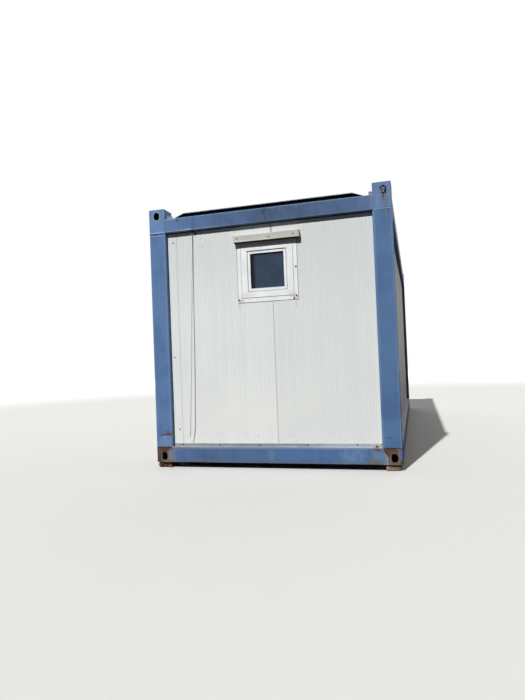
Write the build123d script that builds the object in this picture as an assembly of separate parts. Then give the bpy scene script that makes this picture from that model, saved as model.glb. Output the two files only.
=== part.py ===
"""Portable site cabin on a welded steel frame, in millimetres.

Origin: centre of the footprint, at the underside of the packers. +Z is up. The end with the small
window faces -Y, and the end with the door faces +Y. The cabin's length runs along Y.
"""

from build123d import *
from math import pi, radians, tan
import os

os.makedirs("parts", exist_ok=True)

# Overall size of the steel frame
cabin_length = 6058
cabin_width = 2438
cabin_height = 2591

# Packers that hold the frame off the ground
packer_height = 55
packer_size_x = 150
packer_size_y = 165
packer_inset = 8
packer_edge = 9

# Hollow corner fittings, welded from plate
fitting_x = 171
fitting_y = 178
top_fitting_height = 250
fitting_wall = 12
fitting_edge = 6
aperture_width = 61
aperture_height = 79
aperture_inset_left = 84
aperture_inset_right = 71
side_aperture_inset = 84
top_aperture_drop = 71
bottom_aperture_rise = 64
lid_aperture_width = 63
lid_aperture_length = 118

# Cold-formed beams and posts
sill_height = 155
header_height = 142
post_width = 177
steel = 4
bend_radius = 7
flange_margin = 4

# Sandwich panels of the walls
panel_recess = 46
panel_thickness = 60
panel_joint_gap = 0.4
panel_joint_x = 58
panel_cover_width = 1000
side_panel_count = 5
seat_clearance = 0.3

# Floor and ceiling
deck_thickness = 22
cross_member_height = 110
cross_member_flange = 50
cross_member_steel = 3
cross_member_count = 11
ceiling_thickness = 60

# Low raised roof
roof_sheet = 2
roof_rise = 59
roof_end_setback = 60
roof_foot_inset = 60
roof_slope_foot = 214
roof_slope_run = 149
roof_hem_height = 6
roof_hem_length = 10
roof_filler_setback = 20
roof_filler_thickness = 16
roof_notch_clearance = 1

# Base flashing on top of the sill
flashing_height = 33
flashing_sheet = 2
flashing_toe = 42

# Window: a square frame in the wall, with a sash in it and a flat trim round it
window_offset_x = 9
window_drop = 461
frame_size = 525
frame_band_x = 63.5
frame_band_z = 60.5
trim_side_band = 40
trim_low_band = 43
trim_top_band = 22
trim_thickness = 4
frame_proud = 6
frame_stop = 15
sash_band = 29
sash_setback = 8
sash_depth = 40
sash_clearance = 0.5
glass_setback = 16
glass_thickness = 18
glazing_cover = 10
ring_edge = 3

# Timber battens over the window and the door
batten_length = 662
batten_offset_x = 19
batten_depth = 55
batten_height = 70
batten_edge = 5
batten_groove = 6
batten_groove_inset = 12
door_batten_overhang = 30

# Door in the far end wall
door_width = 860
door_head_drop = 97
door_thickness = 40
door_gap = 4
door_setback = 3
door_frame_band = 46
door_stop = 12
door_threshold = 25
hinge_radius = 9
hinge_height = 90
hinge_count = 3
hinge_end_distance = 250
hinge_sink = 1
handle_plate_width = 42
handle_plate_height = 220
handle_plate_thickness = 4
handle_height = 1030
handle_backset = 65
handle_reach = 48
handle_radius = 9
handle_length = 115
handle_bar_thickness = 10

# Free cable hanging under the header
cable_diameter = 7
gland_radius = 9
gland_height = 18
gland_nut_height = 7
gland_nut_radius = 12
gland_edge = 2
cable_arc_share = 0.45

# How far a cutting tool runs past the face that it cuts
cut_over = 1

half_width = cabin_width / 2
half_length = cabin_length / 2
base_z = packer_height
sill_top = base_z + sill_height
header_bottom = base_z + cabin_height - top_fitting_height
header_top = header_bottom + header_height
beam_depth = panel_recess + panel_thickness + flange_margin
front_face = -half_length
wall_front = front_face + panel_recess
wall_back = wall_front + panel_thickness
side_wall_outer = half_width - panel_recess
side_wall_inner = side_wall_outer - panel_thickness
fitting_inner_x = half_width - fitting_x
fitting_inner_y = half_length - fitting_y
post_inner_x = half_width - post_width


def block(x0, x1, y0, y1, z0, z1):
    """A plain slab between two corners."""
    return Pos((x0 + x1) / 2, (y0 + y1) / 2, (z0 + z1) / 2) * Box(x1 - x0, y1 - y0, z1 - z0)


def to_right(shape):
    return mirror(shape, about=Plane.YZ)


def to_rear(shape):
    return mirror(shape, about=Plane.XZ)


def save(shape, name):
    export_step(shape, f"parts/{name}.step")


def folded_section(points, wall, radius):
    """Face of a sheet folded along the points, with rounded bends. The sheet lies on their left."""
    middle = FilletPolyline(*offset_path(points, wall / 2), radius=radius - wall / 2)
    return trace(middle, line_width=wall)


def offset_path(points, distance):
    """Moves an open path with square corners to its left by the distance."""
    vectors = [Vector(*p) for p in points]
    normals = []
    for a, b in zip(vectors, vectors[1:]):
        along = (b - a).normalized()
        normals.append(Vector(-along.Y, along.X))
    moved = [vectors[0] + normals[0] * distance]
    for corner, before, after in zip(vectors[1:-1], normals, normals[1:]):
        moved.append(corner + before * distance + after * distance)
    moved.append(vectors[-1] + normals[-1] * distance)
    return [(v.X, v.Y) for v in moved]


def channel(height, length):
    """C-section that opens towards +Y, outer face on Y = 0, from Z = 0 up, along X and centred."""
    path = [(beam_depth, 0), (0, 0), (0, height), (beam_depth, height)]
    face = folded_section([(y, z) for y, z in reversed(path)], steel, bend_radius)
    return Pos(-length / 2, 0, 0) * extrude(Plane.YZ * face, amount=length)


def corner_fitting(height, aperture_z, lid_below, end_inset):
    """Hollow fitting with its outer corner on the origin, reaching to +X and +Y."""
    body = block(0, fitting_x, 0, fitting_y, 0, height)
    outer_corner = body.edges().filter_by(Axis.Z).sort_by_distance((0, 0, height / 2))[0]
    body = fillet(outer_corner, fitting_edge)
    rim = body.faces().sort_by(Axis.Z)[0 if lid_below else -1].edges()
    body = chamfer(rim, fitting_edge / 2)
    hollow = block(
        fitting_wall, fitting_x - fitting_wall, fitting_wall, fitting_y - fitting_wall,
        fitting_wall, height - fitting_wall,
    )
    body -= hollow
    slot = SlotOverall(aperture_height, aperture_width, rotation=90)
    end_cut = extrude(Plane.XZ * (Pos(end_inset, aperture_z) * slot), amount=-2 * fitting_wall)
    side_cut = extrude(Plane.YZ * (Pos(side_aperture_inset, aperture_z) * slot), amount=2 * fitting_wall)
    lid_slot = SlotOverall(lid_aperture_length, lid_aperture_width, rotation=90)
    lid_z = 0 if lid_below else height
    lid_plane = Plane.XY * Pos(fitting_x / 2, fitting_y / 2, lid_z)
    lid_cut = extrude(lid_plane * lid_slot, amount=fitting_wall, both=True)
    return body - end_cut - side_cut - lid_cut


def corner_post():
    """Open folded post with its outer corner on the origin. Its two returns end on the panels."""
    height = header_bottom - sill_top
    path = [(post_width, panel_recess), (post_width, 0), (0, 0), (0, fitting_y), (panel_recess, fitting_y)]
    face = folded_section(list(reversed(path)), steel, bend_radius)
    return extrude(face, amount=height)


def ring(width, height, band_x, band_z, y0, y1, centre, edge=0.0):
    """Rectangular ring in an end wall, between the planes y0 and y1, with its front arrises eased."""
    cx, cz = centre
    outer = block(cx - width / 2, cx + width / 2, y0, y1, cz - height / 2, cz + height / 2)
    if edge:
        outer = fillet(outer.faces().sort_by(Axis.Y)[0].edges(), edge)
    inner_x = width / 2 - band_x
    inner_z = height / 2 - band_z
    hole = block(cx - inner_x, cx + inner_x, y0 - cut_over, y1 + cut_over, cz - inner_z, cz + inner_z)
    return outer - hole


def build_frame():
    aperture_z = top_fitting_height - top_aperture_drop
    post = Pos(-half_width, front_face, sill_top) * corner_post()
    for side, inset in (("left", aperture_inset_left), ("right", aperture_inset_right)):
        lower = corner_fitting(sill_height, bottom_aperture_rise, True, inset)
        lower = Pos(-half_width, front_face, base_z) * lower
        upper = corner_fitting(top_fitting_height, aperture_z, False, inset)
        upper = Pos(-half_width, front_face, header_bottom) * upper
        for name, shape in (("bottom_corner", lower), ("top_corner", upper), ("corner_post", post)):
            placed = to_right(shape) if side == "right" else shape
            save(placed, f"front_{side}_{name}")
            save(to_rear(placed), f"rear_{side}_{name}")

    end_length = 2 * fitting_inner_x
    side_length = 2 * fitting_inner_y
    for name, height, level in (("sill", sill_height, base_z), ("header", header_height, header_bottom)):
        end_beam = Pos(0, front_face, level) * channel(height, end_length)
        save(end_beam, f"front_{name}")
        save(to_rear(end_beam), f"rear_{name}")
        side_beam = Pos(-half_width, 0, level) * Rot(0, 0, -90) * channel(height, side_length)
        side_name = "floor_rail" if name == "sill" else "roof_rail"
        save(side_beam, f"left_{side_name}")
        save(to_right(side_beam), f"right_{side_name}")


def build_packers():
    size = Box(packer_size_x, packer_size_y, packer_height)
    size = chamfer(size.edges().filter_by(Axis.Z), packer_edge)
    x = half_width - packer_inset - packer_size_x / 2
    y = half_length - packer_inset - packer_size_y / 2
    spots = [Pos(sx * x, sy * y, packer_height / 2) for sx in (-1, 1) for sy in (-1, 1)]
    save(Compound(children=[spot * size for spot in spots]), "corner_packers")


def notched_slab(x, y, z0, z1, clearance):
    """Slab across the cabin, notched round the four corner fittings."""
    slab = block(-x, x, -y, y, z0, z1)
    nx = fitting_inner_x - clearance
    ny = fitting_inner_y - clearance
    for sx in (-1, 1):
        for sy in (-1, 1):
            corner_x = sorted((sx * nx, sx * half_width))
            corner_y = sorted((sy * ny, sy * half_length))
            slab -= block(*corner_x, *corner_y, z0 - cut_over, z1 + cut_over)
    return slab


def cross_member(length):
    """C-section that opens towards +Y, from Z = 0 up, along X and centred."""
    wall = cross_member_steel
    web = block(-length / 2, length / 2, 0, wall, 0, cross_member_height)
    low_flange = block(-length / 2, length / 2, 0, cross_member_flange, 0, wall)
    return web + low_flange + Pos(0, 0, cross_member_height - wall) * low_flange


def build_floor_and_ceiling():
    deck_x = half_width - beam_depth - seat_clearance
    deck_y = half_length - beam_depth - seat_clearance
    deck_bottom = sill_top - deck_thickness
    save(notched_slab(deck_x, deck_y, deck_bottom, sill_top, seat_clearance), "floor_deck")

    member_length = cabin_width - 2 * steel
    pitch = (cabin_length - 2 * fitting_y) / (cross_member_count + 1)
    first = -pitch * (cross_member_count - 1) / 2 - cross_member_flange / 2
    member = cross_member(member_length)
    member = Pos(0, first, deck_bottom - cross_member_height) * member
    members = [Pos(0, pitch * i, 0) * member for i in range(cross_member_count)]
    save(Compound(children=members), "floor_cross_members")

    ceiling_bottom = header_bottom + steel
    ceiling_top = ceiling_bottom + ceiling_thickness
    ceiling_x = half_width - steel - bend_radius
    ceiling_y = half_length - steel - bend_radius
    save(notched_slab(ceiling_x, ceiling_y, ceiling_bottom, ceiling_top, seat_clearance), "ceiling_panel")


def roof_outline():
    """How far out the slope's foot and top lie, and the level of the flat top."""
    foot = half_width - roof_slope_foot
    top = foot - roof_slope_run
    return foot, top, header_top + roof_rise


def build_roof():
    foot, top, level = roof_outline()
    edge = half_width - roof_foot_inset
    sheet_path = [
        (-edge, header_top), (-foot, header_top), (-top, level - roof_sheet),
        (top, level - roof_sheet), (foot, header_top), (edge, header_top),
    ]
    rise = [(x, z + roof_sheet) for x, z in reversed(sheet_path)]
    section = make_face(Polyline(*sheet_path, *rise, close=True))
    roof_half = half_length - roof_end_setback
    cover = extrude(Plane.XZ * section, amount=roof_half, both=True)

    hem_low = [(-top, level - roof_hem_height), (top, level - roof_hem_height)]
    hem_high = [(top, level - roof_sheet), (-top, level - roof_sheet)]
    hem = extrude(Plane.XZ * make_face(Polyline(*hem_low, *hem_high, close=True)), amount=roof_hem_length)
    cover += Pos(0, -roof_half + roof_hem_length, 0) * hem
    cover += Pos(0, roof_half, 0) * hem
    for sx in (-1, 1):
        for sy in (-1, 1):
            corner_x = sorted((sx * (fitting_inner_x - roof_notch_clearance), sx * half_width))
            corner_y = sorted((sy * (fitting_inner_y - roof_notch_clearance), sy * half_length))
            cover -= block(*corner_x, *corner_y, header_top - cut_over, level + cut_over)
    save(cover, "roof_cover")

    inner_top = level - roof_sheet
    filler_corners = [(-foot, header_top), (foot, header_top), (top, inner_top), (-top, inner_top)]
    filler_face = make_face(Polyline(*filler_corners, close=True))
    filler = extrude(Plane.XZ * filler_face, amount=-roof_filler_thickness)
    filler = Pos(0, -roof_half + roof_filler_setback, 0) * filler
    save(Compound(children=[filler, to_rear(filler)]), "roof_end_fillers")


def build_end_wall():
    window_x = window_offset_x
    window_z = header_bottom - window_drop
    centre = (window_x, window_z)
    frame_half = frame_size / 2
    cut_half = frame_half + seat_clearance
    opening = block(
        window_x - cut_half, window_x + cut_half, wall_front - cut_over, wall_back + cut_over,
        window_z - cut_half, window_z + cut_half,
    )
    left_joint = panel_joint_x - panel_cover_width
    half_gap = panel_joint_gap / 2
    spans = {
        "front_wall_left_strip": (-side_wall_outer, left_joint - half_gap),
        "front_wall_middle_panel": (left_joint + half_gap, panel_joint_x - half_gap),
        "front_wall_right_panel": (panel_joint_x + half_gap, side_wall_outer),
    }
    for name, (x0, x1) in spans.items():
        save(block(x0, x1, wall_front, wall_back, sill_top, header_bottom) - opening, name)

    trim_half = frame_half + trim_side_band
    trim_top = window_z + frame_half + trim_top_band
    trim = block(
        window_x - trim_half, window_x + trim_half, wall_front - trim_thickness, wall_front,
        window_z - frame_half - trim_low_band, trim_top,
    )
    inside = block(
        window_x - frame_half, window_x + frame_half, wall_front - trim_thickness - cut_over, wall_front,
        window_z - frame_half, window_z + frame_half,
    )
    save(trim - inside, "window_trim")

    frame_front = wall_front - frame_proud
    sash_front = frame_front + sash_setback
    sash_back = sash_front + sash_depth
    frame = ring(
        frame_size, frame_size, frame_band_x, frame_band_z, frame_front, sash_back, centre, ring_edge,
    )
    stop = ring(
        frame_size, frame_size, frame_band_x + frame_stop, frame_band_z + frame_stop,
        sash_back, wall_back, centre,
    )
    save(frame + stop, "window_frame")

    sash_width = frame_size - 2 * frame_band_x - 2 * sash_clearance
    sash_height = frame_size - 2 * frame_band_z - 2 * sash_clearance
    glass_front = sash_front + glass_setback
    sash = ring(sash_width, sash_height, sash_band, sash_band, sash_front, glass_front, centre, ring_edge)
    rebate_band = sash_band - glazing_cover - seat_clearance
    rebate = ring(sash_width, sash_height, rebate_band, rebate_band, glass_front, sash_back, centre)
    save(sash + rebate, "window_sash")

    glass_half_x = sash_width / 2 - sash_band + glazing_cover
    glass_half_z = sash_height / 2 - sash_band + glazing_cover
    glass = block(
        window_x - glass_half_x, window_x + glass_half_x, glass_front, glass_front + glass_thickness,
        window_z - glass_half_z, window_z + glass_half_z,
    )
    save(glass, "window_glass")

    batten_place = Pos(batten_offset_x, wall_front, trim_top + panel_joint_gap)
    save(batten_place * batten(batten_length), "window_head_batten")


def batten(length):
    """Timber batten standing out to -Y from Y = 0, its underside on Z = 0, with a drip groove."""
    body = block(-length / 2, length / 2, -batten_depth, 0, 0, batten_height)
    body = fillet(body.faces().sort_by(Axis.Y)[0].edges(), batten_edge)
    groove_y = -batten_depth + batten_groove_inset + batten_groove / 2
    groove = extrude(Plane.YZ * (Pos(groove_y, 0) * Circle(batten_groove / 2)), amount=length, both=True)
    return body - groove


def build_side_walls():
    run = 2 * (half_length - panel_recess - panel_thickness) - 2 * seat_clearance
    pitch = run / side_panel_count
    panels = []
    for i in range(side_panel_count):
        start = -run / 2 + i * pitch + panel_joint_gap / 2
        stop = start + pitch - panel_joint_gap
        panels.append(block(-side_wall_outer, -side_wall_inner, start, stop, sill_top, header_bottom))
    left = Compound(children=panels)
    save(left, "left_wall_panels")
    save(to_right(left), "right_wall_panels")


def build_door_wall():
    """The door end, worked out as if it faced -Y and turned round when it is saved."""
    opening_half = door_width / 2 + door_gap
    frame_half = opening_half + door_frame_band
    frame_top = header_bottom - door_head_drop
    opening_top = frame_top - door_frame_band
    opening_bottom = sill_top + door_threshold
    door_height = opening_top - opening_bottom - 2 * door_gap
    hole = frame_half + seat_clearance

    def turned(shape):
        return Rot(0, 0, 180) * shape

    left_panel = block(-side_wall_outer, -hole, wall_front, wall_back, sill_top, header_bottom)
    save(turned(left_panel), "rear_wall_right_panel")
    save(turned(to_right(left_panel)), "rear_wall_left_panel")
    over_edge = hole - panel_joint_gap
    over = block(-over_edge, over_edge, wall_front, wall_back, frame_top + seat_clearance, header_bottom)
    save(turned(over), "rear_wall_over_door")

    leaf_front = wall_front + door_setback
    leaf_back = leaf_front + door_thickness
    outer = block(-frame_half, frame_half, wall_front, wall_back, sill_top, frame_top)
    rebate = block(-opening_half, opening_half, wall_front - cut_over, leaf_back, opening_bottom, opening_top)
    way_half = opening_half - door_stop
    way = block(
        -way_half, way_half, wall_front - cut_over, wall_back + cut_over,
        opening_bottom + door_stop, opening_top - door_stop,
    )
    frame = outer - rebate - way
    leaf_bottom = opening_bottom + door_gap
    hinge_x = -opening_half + door_gap / 2
    hinge_y = wall_front - hinge_radius + hinge_sink
    span = door_height - 2 * hinge_end_distance
    for i in range(hinge_count):
        z = leaf_bottom + hinge_end_distance + span * i / (hinge_count - 1) - hinge_height / 2
        knuckle = Pos(hinge_x - hinge_radius, hinge_y, z) * Cylinder(
            hinge_radius, hinge_height, align=(Align.CENTER, Align.CENTER, Align.MIN)
        )
        frame += knuckle
    save(turned(frame), "door_frame")

    leaf = block(
        -door_width / 2, door_width / 2, leaf_front, leaf_back, leaf_bottom, leaf_bottom + door_height,
    )
    save(turned(leaf), "door_leaf")

    plate_x = door_width / 2 - handle_backset
    plate_z = leaf_bottom + handle_height
    plate_front = leaf_front - handle_plate_thickness
    plate = Pos(plate_x, 0, plate_z) * block(
        -handle_plate_width / 2, handle_plate_width / 2, plate_front, leaf_front,
        -handle_plate_height / 2, handle_plate_height / 2,
    )
    plate = fillet(plate.edges().filter_by(Axis.Y), handle_plate_width / 4)
    lever_back = leaf_front - handle_reach + handle_bar_thickness
    neck = Plane.XZ * Pos(plate_x, plate_z) * Circle(handle_radius)
    neck = Pos(0, plate_front, 0) * extrude(neck, amount=plate_front - lever_back)
    bar_middle = plate_x + handle_radius - (handle_length + handle_radius) / 2
    bar = Plane.XZ * Pos(bar_middle, plate_z) * SlotOverall(handle_length + handle_radius, 2 * handle_radius)
    bar = Pos(0, lever_back, 0) * extrude(bar, amount=handle_bar_thickness)
    save(turned(plate + neck + bar), "door_handle")

    batten_bottom = frame_top + panel_joint_gap
    door_batten = Pos(0, wall_front, batten_bottom) * batten(2 * (frame_half + door_batten_overhang))
    save(turned(door_batten), "door_head_batten")
    return frame_half


def build_flashings(door_frame_half):
    path = [(-flashing_toe, 0), (0, 0), (0, flashing_height)]
    face = folded_section(path, flashing_sheet, 2 * flashing_sheet)

    def angle(length):
        return Pos(-length / 2, 0, sill_top) * extrude(Plane.YZ * face, amount=length)

    end_run = 2 * (post_inner_x - seat_clearance)
    side_run = 2 * (fitting_inner_y - seat_clearance)
    door_run = post_inner_x - seat_clearance - door_frame_half
    front = Pos(0, wall_front, 0) * angle(end_run)
    left = Pos(-side_wall_outer, 0, 0) * Rot(0, 0, -90) * angle(side_run)
    door_side = Pos(-(door_frame_half + door_run / 2), wall_front, 0) * angle(door_run - 2 * seat_clearance)
    pieces = [front, left, to_right(left), to_rear(door_side), to_rear(to_right(door_side))]
    save(Compound(children=pieces), "base_flashings")


# Route of the cable: distance right of the cabin's left side, distance out from the wall panel, and
# drop below the header. It leaves the gland straight down, hangs straight for most of its length, and
# ends in a bare end.
cable_route = [
    (458.5, 12.0, 18),
    (458.5, 12.0, 99),
    (454.5, 13.6, 201),
    (451.1, 17.3, 303),
    (424.0, 53.0, 1234),
    (420.7, 56.1, 1338),
    (417.0, 59.5, 1441),
    (412.8, 63.5, 1544),
    (408.2, 68.0, 1647),
    (403.7, 72.2, 1750),
    (399.6, 74.6, 1852),
    (394.5, 72.0, 1949),
    (385.6, 64.5, 2023),
    (373.8, 53.5, 2083),
]


def build_cable():
    points = [Vector(x - half_width, wall_front - out, header_bottom - drop) for x, out, drop in cable_route]
    nut = extrude(RegularPolygon(gland_nut_radius, 6), amount=-gland_nut_height)
    stem = Cylinder(gland_radius, gland_height, align=(Align.CENTER, Align.CENTER, Align.MAX))
    stem = chamfer(stem.faces().sort_by(Axis.Z)[0].edges(), gland_edge)
    save(Pos(points[0].X, points[0].Y, header_bottom) * (nut + stem), "cable_gland")

    radii = []
    for before, corner, after in zip(points, points[1:], points[2:]):
        run_in = corner - before
        run_out = after - corner
        turn = radians(run_in.get_angle(run_out))
        radii.append(cable_arc_share * min(run_in.length, run_out.length) / tan(turn / 2))
    path = FilletPolyline(*points, radius=radii)
    tube = sweep(Plane(origin=points[0], z_dir=points[1] - points[0]) * Circle(cable_diameter / 2), path=path)
    save(tube, "hanging_cable")
    section = pi * cable_diameter**2 / 4
    print("cable length", round(path.length, 1), "volume over section", round(tube.volume / section, 1))
    print("cable radii", [round(r) for r in radii])


build_frame()
build_packers()
build_floor_and_ceiling()
build_roof()
build_end_wall()
build_side_walls()
frame_half = build_door_wall()
build_flashings(frame_half)
build_cable()
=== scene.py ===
import math

import bmesh
import bpy
from mathutils import Matrix, Vector, noise as field


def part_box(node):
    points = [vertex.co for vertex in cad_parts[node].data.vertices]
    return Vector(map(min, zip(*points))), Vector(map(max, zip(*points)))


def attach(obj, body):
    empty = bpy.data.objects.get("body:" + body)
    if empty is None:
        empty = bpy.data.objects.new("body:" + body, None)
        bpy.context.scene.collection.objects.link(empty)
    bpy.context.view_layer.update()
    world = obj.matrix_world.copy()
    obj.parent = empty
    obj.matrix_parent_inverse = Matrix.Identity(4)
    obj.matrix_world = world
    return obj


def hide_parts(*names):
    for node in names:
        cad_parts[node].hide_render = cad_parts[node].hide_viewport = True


# Looks of a portable site cabin: camera, light, finishes and the small pieces on its steel frame.
# Lengths are in metres, in the part's own frame: the origin is the centre of the footprint, +Z is up,
# and the end with the small window faces -Y.
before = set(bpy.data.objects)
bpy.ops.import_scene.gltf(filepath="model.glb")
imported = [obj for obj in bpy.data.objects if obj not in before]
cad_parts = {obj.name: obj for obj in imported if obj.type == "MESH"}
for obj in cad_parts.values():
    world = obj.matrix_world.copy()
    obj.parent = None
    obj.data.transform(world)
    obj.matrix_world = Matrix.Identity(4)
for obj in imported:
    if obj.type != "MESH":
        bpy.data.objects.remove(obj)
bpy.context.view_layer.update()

# Camera, worked out from the straight edges of the cabin's end
photo_height = 700
focal_pixels = 539.1
sensor_width = 36.0
camera_place = Vector((1.363, -8.061, 1.044))
camera_pan = math.radians(15.75)
camera_tilt = math.radians(1.2)
camera_roll = math.radians(2.26)

# Light and floor: a high sun a little to the left of the window end, weak light all round that grows
# stronger towards the rear, and a floor that turns white with distance
toward_sun = Vector((-0.1437, -0.6650, 0.7315))
sun_strength = 4.35
sun_angle = math.radians(1.2)
front_sky = 0.04
rear_sky = 1.4
sky_change = (0.1, 0.9)
floor_radius = 30.0
floor_fade = (9.0, 26.0)

# Ribbed outer sheet of the walls: ribs, with one rib's outline as shares of its pitch and depth; rise over
# the CAD panel and thickness; gaps at a joint and at an edge; and panels along each side
rib_pitch, rib_depth = 0.028, 0.0010
rib_profile = ((0.0, 0.0), (0.62, 0.0), (0.70, 1.0), (0.92, 1.0))
skin_rise, skin_sheet = 0.0016, 0.0005
skin_gap, skin_edge_gap = 0.0015, 0.0006
side_panels = 5

# Window: width of the sash bars, the hair's breadth left at each mitre of the trim, the rounding of its
# edges, and each line of sealant or rubber: width, rise over the face beside it, and root below that face
sash_band = 0.029
mitre_gap = 0.0003
trim_rounding = 0.0012
trim_sealant_width, trim_sealant_rise = 0.004, 0.003
frame_joint_width, frame_joint_rise, frame_joint_root = 0.0025, 0.0008, 0.002
sash_seal_left, sash_seal_right, sash_seal_width = 0.0028, 0.0045, 0.0040
sash_seal_rise, sash_seal_root = 0.0012, 0.001
gasket_width, gasket_rise = 0.004, 0.004

# Dark strip at the top of the walls, painted shade under the beams over them, and the steps of its rounding
shade_strip_height, shade_strip_depth, shade_strip_steps = 0.0085, 0.006, 4

# Door: the seal's width, and how far it starts and ends behind the leaf's face; the lock cylinder, from
# the corner of the handle's box
door_seal_width = 0.0035
door_seal_start, door_seal_end = 0.012, 0.002
lock_place = Vector((0.021, 0.004, 0.055))
lock_radius, lock_tip_radius, lock_rise = 0.0085, 0.0075, 0.005

# Screws: radius, rise, and share of the radius at the top, of the washer and of the head; the row along
# each side; and the thickness of the flashing's upright leg, which the rows stand on
washer_radius, washer_rise, washer_taper = 0.0075, 0.0012, 0.86
head_radius, head_rise, head_taper = 0.0048, 0.0040, 0.7
side_screws, side_screw_pitch = 6, 1.0
flashing_leg = 0.002

# Rubber-lined hole under the header
grommet_x, grommet_drop = -0.728, 0.030
grommet_radius, grommet_tip_radius, grommet_rise = 0.0115, 0.0095, 0.005

# Welds along the seams of the frame: section, ripples, unevenness, and share of the section at a bead's
# ends; how far past a fitting's edge a level bead starts and ends; how flat the ones on the right are; and
# how far upright beads stop short of the levels that they run between
weld_width, weld_rise, weld_sides = 0.009, 0.0032, 8
weld_ripple, weld_wave, weld_unevenness = 0.0042, 0.10, 0.28
weld_end = 0.25
weld_start, weld_reach = 0.004, 0.165
flat_weld = 0.45
seam_foot_gap, seam_top_gap = 0.006, 0.004

# Lashing eye in the top right aperture: its middle, steps of its arch, radius, straight parts over and
# under the middle, place behind the frame's face, depth and edge, and the ring below it with its place from
# that middle
eye_x, eye_z, eye_steps = 1.148, 2.575, 16
eye_radius, eye_straight, eye_foot = 0.0295, 0.009, 0.001
eye_set_back, eye_depth, eye_rounding = 0.006, 0.012, 0.003
ring_place = Vector((-0.008, 0.008, -0.015))
ring_radius, ring_thickness, ring_squash = 0.016, 0.006, 0.55

# Plates on top of the header: left edge, right edge and rise of each, and what they share
lugs = ((-1.017, -0.962, 0.028), (1.016, 1.0475, 0.033))
lug_set_back, lug_depth, lug_rounding = 0.006, 0.010, 0.012

# Blocks under the corners, and how far their sides are worn back: all over, in lumps, in grains, and at
# the upper and lower edges
packer_width, packer_depth = 0.150, 0.165
packer_wear, packer_lumps, packer_grains, packer_edge_wear = 0.10, 0.12, 0.05, 0.16

# Roof: sheets along it, the outline of a lap as distances in from the cabin's sides, and its screws
roof_sheets = 6
lap_edge, lap_foot, lap_top = 0.175, 0.214, 0.363
lap_width, lap_rise = 0.045, 0.0025
roof_sheet_thickness = 0.002
roof_screw_places = (-0.75, -0.45, -0.15, 0.15, 0.45, 0.75)

# Cable: distance right of the cabin's left side, distance out from the wall panel, and drop below the
# header. The same route as the solid, with two more points at the ends of its long straight stretch.
cable_diameter = 0.007
cable_route = (
    (0.4585, 0.0120, 0.018), (0.4585, 0.0120, 0.099), (0.4545, 0.0136, 0.201), (0.4511, 0.0173, 0.303),
    (0.4481, 0.0212, 0.405), (0.4270, 0.0491, 1.132),
    (0.4240, 0.0530, 1.234), (0.4207, 0.0561, 1.338), (0.4170, 0.0595, 1.441), (0.4128, 0.0635, 1.544),
    (0.4082, 0.0680, 1.647), (0.4037, 0.0722, 1.750), (0.3996, 0.0746, 1.852), (0.3945, 0.0720, 1.949),
    (0.3856, 0.0645, 2.023), (0.3738, 0.0535, 2.083),
)


def low(node):
    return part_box(node)[0]


def high(node):
    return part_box(node)[1]


def rectangle(node, inset=0.0):
    """Outline (x0, x1, z0, z1) of a node seen from the end, drawn in by inset."""
    (x0, _, z0), (x1, _, z1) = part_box(node)
    return x0 + inset, x1 - inset, z0 + inset, z1 - inset


# Planes and levels that the CAD frame gives
front_face = low("front_left_corner_post")[1]
rear_face = high("rear_left_corner_post")[1]
wall_front = low("front_wall_left_strip")[1]
wall_rear = high("rear_wall_left_panel")[1]
wall_left = low("left_wall_panels")[0]
wall_right = high("right_wall_panels")[0]
left_side = low("front_left_corner_post")[0]
left_joint = high("front_wall_left_strip")[0]
right_joint = high("front_wall_middle_panel")[0]
post_x = -high("front_left_corner_post")[0]
fitting_x = -high("front_left_top_corner")[0]
post_y = -high("front_left_corner_post")[1]
sill_foot = low("front_sill")[2]
sill_top = high("front_sill")[2]
flashing_top = high("base_flashings")[2]
header_bottom = low("front_header")[2]
header_top = high("front_header")[2]
batten_bottom = low("window_head_batten")[2]
trim_front = low("window_trim")[1]
sash_front = low("window_sash")[1]
glass_front = low("window_glass")[1]

# Directions out of the two ends, and the walls: origin, direction along the wall, and direction out of it
to_front, to_rear = Vector((0, -1, 0)), Vector((0, 1, 0))
walls = {
    "front": (Vector((0, wall_front, 0)), Vector((1, 0, 0)), to_front),
    "rear": (Vector((0, wall_rear, 0)), Vector((-1, 0, 0)), to_rear),
    "left": (Vector((wall_left, 0, 0)), to_front, Vector((-1, 0, 0))),
    "right": (Vector((wall_right, 0, 0)), to_rear, Vector((1, 0, 0))),
}

# Screws on the window end: plane, slot, size, finish, and places across and up
flashing_level = (sill_top + flashing_top) / 2
end_screws = {
    "panel_screws": (wall_front - skin_rise, "white_panel", 1.0, "dark_screw", (
        (-0.974, 2.293), (-1.003, 1.119), (-0.977, 0.384),
    )),
    "batten_screws": (low("window_head_batten")[1], "weathered_batten", 1.0, "dark_screw", (
        (-0.274, 2.2585), (0.051, 2.246), (0.292, 2.253),
    )),
    "trim_screws": (trim_front, "window_plastic", 1.25, "black_rubber", (
        (-0.2856, 1.655), (0.293, 1.665), (0.270, 1.639), (0.298, 1.944),
    )),
    "trim_screw_light": (trim_front, "window_plastic", 0.7, "window_plastic", ((-0.277, 1.912),)),
    "flashing_screws": (wall_front - flashing_leg, "flashing", 1.0, "dark_screw", (
        (-0.947, flashing_level + 0.002), (-0.55, flashing_level), (-0.13, flashing_level),
        (0.343, flashing_level), (0.811, flashing_level + 0.007), (0.992, flashing_level - 0.008),
    )),
}

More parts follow.
